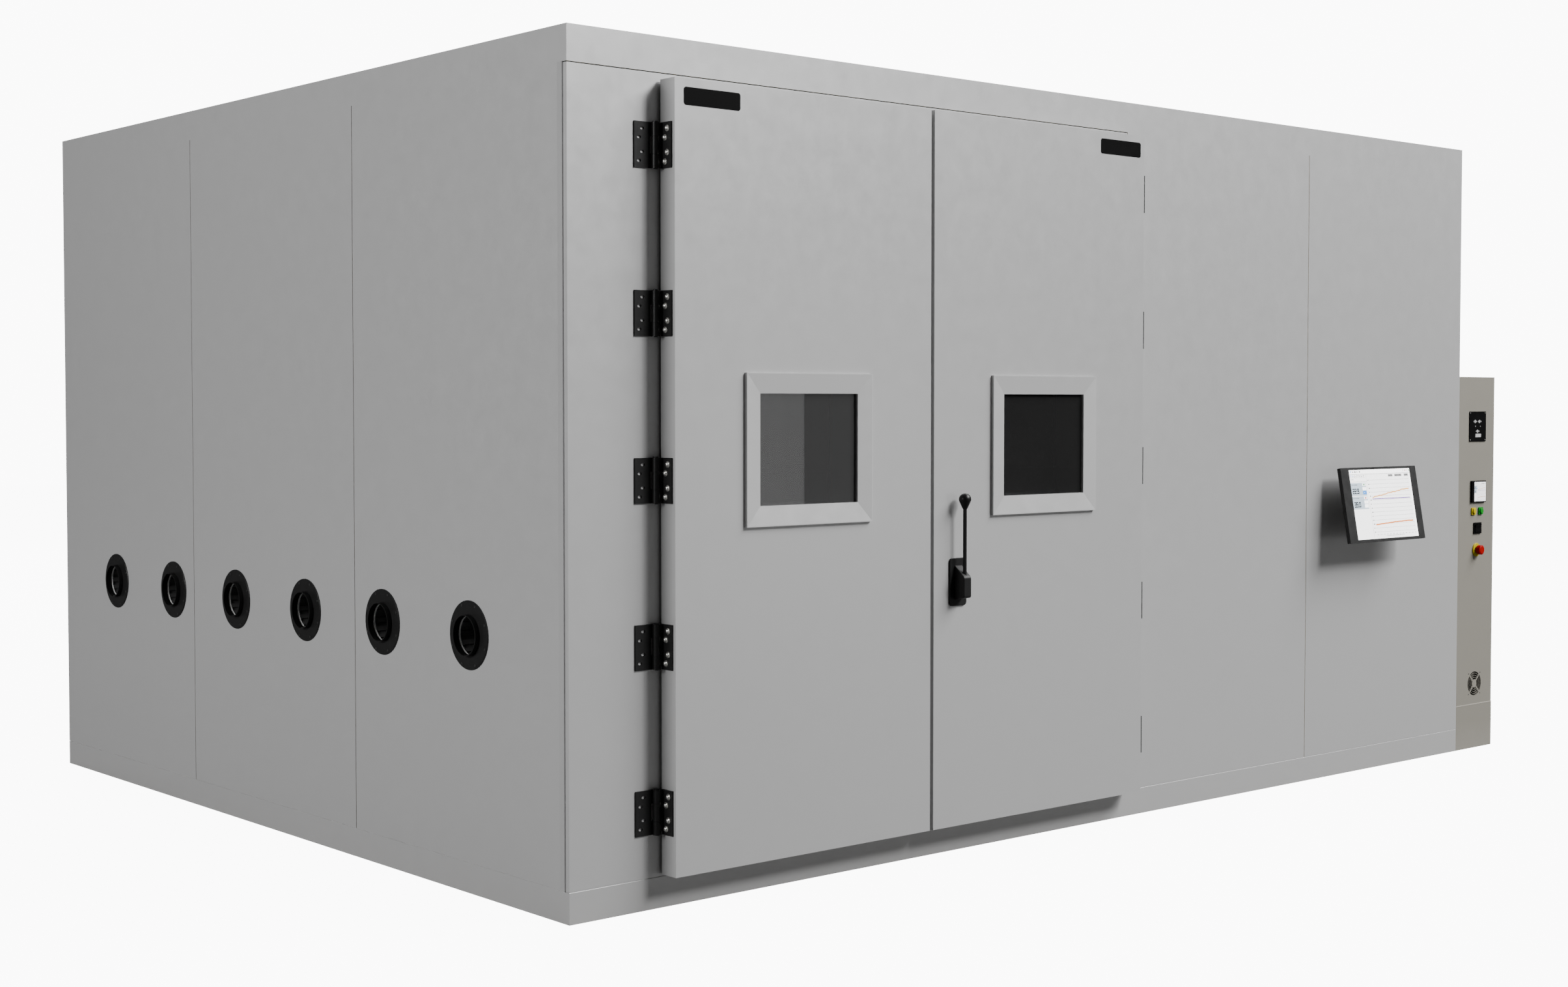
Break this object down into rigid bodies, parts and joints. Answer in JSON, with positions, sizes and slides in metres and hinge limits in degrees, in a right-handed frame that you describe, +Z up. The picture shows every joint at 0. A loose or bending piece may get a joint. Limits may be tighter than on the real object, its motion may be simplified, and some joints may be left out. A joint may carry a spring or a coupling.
{
  "type": "environmental test chamber",
  "caption": "Walk-in environmental test chamber with insulated panels, hinged double doors with windows, a row of cable ports, a touchscreen and a side control cabinet.",
  "frame": {"origin": "middle of the main box's footprint, on the floor", "axes": "+X along the front towards the control cabinet, +Y from the front to the back, +Z up"},
  "size_m": [4.874, 3.6865, 2.54],
  "materials": {
    "grey_enamel": "satin powder coat",
    "foam": "rigid foam, rough",
    "black_rubber": "matte",
    "stainless": "brushed",
    "grey_trim": "satin",
    "black_plastic": "matte",
    "black_steel": "satin black",
    "zinc_steel": "zinc plated",
    "latch_coat": "satin black",
    "knob_plastic": "gloss",
    "coil_aluminium": "mill",
    "motor_iron": "satin",
    "lamp_plastic": "frosted",
    "cabinet_paint": "satin powder coat",
    "display_plastic": "matte",
    "yellow_plastic": "gloss",
    "red_plastic": "gloss",
    "green_plastic": "gloss",
    "window_glass": "clear",
    "screen_case": "satin",
    "screen_glass": "lit display"
  },
  "bodies": {
    "chamber": {"base_pan": "grey_enamel", "left_wall_skins": "grey_enamel", "back_wall_skins": "grey_enamel", "right_wall_skins": "grey_enamel", "front_wall_skins": "grey_enamel", "roof_skin": "grey_enamel", "insulation_cores": "foam", "seam_gaskets": "black_rubber", "chamber_liner": "stainless", "plenum_wall": "stainless", "supply_louvres": "stainless", "port_rings": "stainless", "fan_shroud": "stainless", "door_jamb": "grey_trim", "port_flanges": "black_plastic", "port_tubes": "black_plastic", "socket_panel": "black_plastic", "cabinet_fan_frame": "black_plastic", "switch_bezels": "black_plastic", "hinge_wall_leaves": "black_steel", "hinge_pins": "zinc_steel", "heater_elements": "zinc_steel", "screen_bracket": "zinc_steel", "evaporator_coil": "coil_aluminium", "fan_motors": "motor_iron", "chamber_light": "lamp_plastic", "cabinet_shell": "cabinet_paint", "cabinet_plinth": "cabinet_paint", "cabinet_display": "display_plastic", "estop_ring": "yellow_plastic"},
    "left_door": {"left_door_skin": "grey_enamel", "left_door_core": "foam", "left_door_liner": "stainless", "left_window_frame": "grey_trim", "left_window_glass": "window_glass", "left_door_gaskets": "black_rubber", "left_hinge_leaves": "black_steel", "left_hinge_bolts": "zinc_steel", "latch_keeper": "stainless"},
    "right_door": {"right_door_skin": "grey_enamel", "right_door_core": "foam", "right_door_liner": "stainless", "right_window_frame": "grey_trim", "right_window_glass": "window_glass", "right_door_gasket": "black_rubber", "right_hinge_leaves": "black_steel", "right_hinge_bolts": "zinc_steel", "handle_plate": "latch_coat"},
    "latch": {"latch_lever": "latch_coat", "latch_knob": "knob_plastic", "latch_spindle": "zinc_steel"},
    "screen": {"screen_housing": "screen_case", "screen_panel": "screen_glass"},
    "yellow_button": {"yellow_button": "yellow_plastic"},
    "green_button": {"green_button": "green_plastic"},
    "power_rocker": {"power_rocker": "black_plastic"},
    "estop_button": {"estop_button": "red_plastic"},
    "cabinet_fan": {"cabinet_fan_rotor": "black_plastic"},
    "blower_front": {"blower_fan_front": "coil_aluminium"},
    "blower_rear": {"blower_fan_rear": "coil_aluminium"}
  },
  "joints": [
    {"name": "left_door_swing", "type": "hinge", "parent": "chamber", "child": "left_door", "pos_m": [-1.9863, -1.7908, 1.2545], "axis": [0, 0, -1], "range_deg": [0, 105]},
    {"name": "right_door_swing", "type": "hinge", "parent": "chamber", "child": "right_door", "pos_m": [0.1439, -1.7908, 1.2545], "axis": [0, 0, 1], "range_deg": [0, 105]},
    {"name": "latch_turn", "type": "hinge", "parent": "right_door", "child": "latch", "pos_m": [-0.8072, -1.8535, 0.8991], "axis": [0, 1, 0], "range_deg": [0, 90]},
    {"name": "screen_tilt", "type": "hinge", "parent": "chamber", "child": "screen", "pos_m": [1.5875, -1.81493, 1.06678], "axis": [1, 0, 0], "range_deg": [-14, 15]},
    {"name": "yellow_button_push", "type": "slide", "parent": "chamber", "child": "yellow_button", "axis": [0, 1, 0], "range_m": [0, 0.004], "stiffness_N_per_m": 600},
    {"name": "green_button_push", "type": "slide", "parent": "chamber", "child": "green_button", "axis": [0, 1, 0], "range_m": [0, 0.004], "stiffness_N_per_m": 600},
    {"name": "power_rocker_tip", "type": "hinge", "parent": "chamber", "child": "power_rocker", "pos_m": [2.435, -1.7815, 0.943], "axis": [1, 0, 0], "range_deg": [-12, 0]},
    {"name": "estop_push", "type": "slide", "parent": "chamber", "child": "estop_button", "axis": [0, 1, 0], "range_m": [0, 0.005]},
    {"name": "cabinet_fan_spin", "type": "hinge", "parent": "chamber", "child": "cabinet_fan", "pos_m": [2.429, -1.765, 0.2765], "axis": [0, 1, 0], "continuous": true},
    {"name": "blower_front_spin", "type": "hinge", "parent": "chamber", "child": "blower_front", "pos_m": [1.6915, -0.778, 2.19], "axis": [1, 0, 0], "continuous": true},
    {"name": "blower_rear_spin", "type": "hinge", "parent": "chamber", "child": "blower_rear", "pos_m": [1.6915, 0.572, 2.19], "axis": [1, 0, 0], "continuous": true}
  ]
}
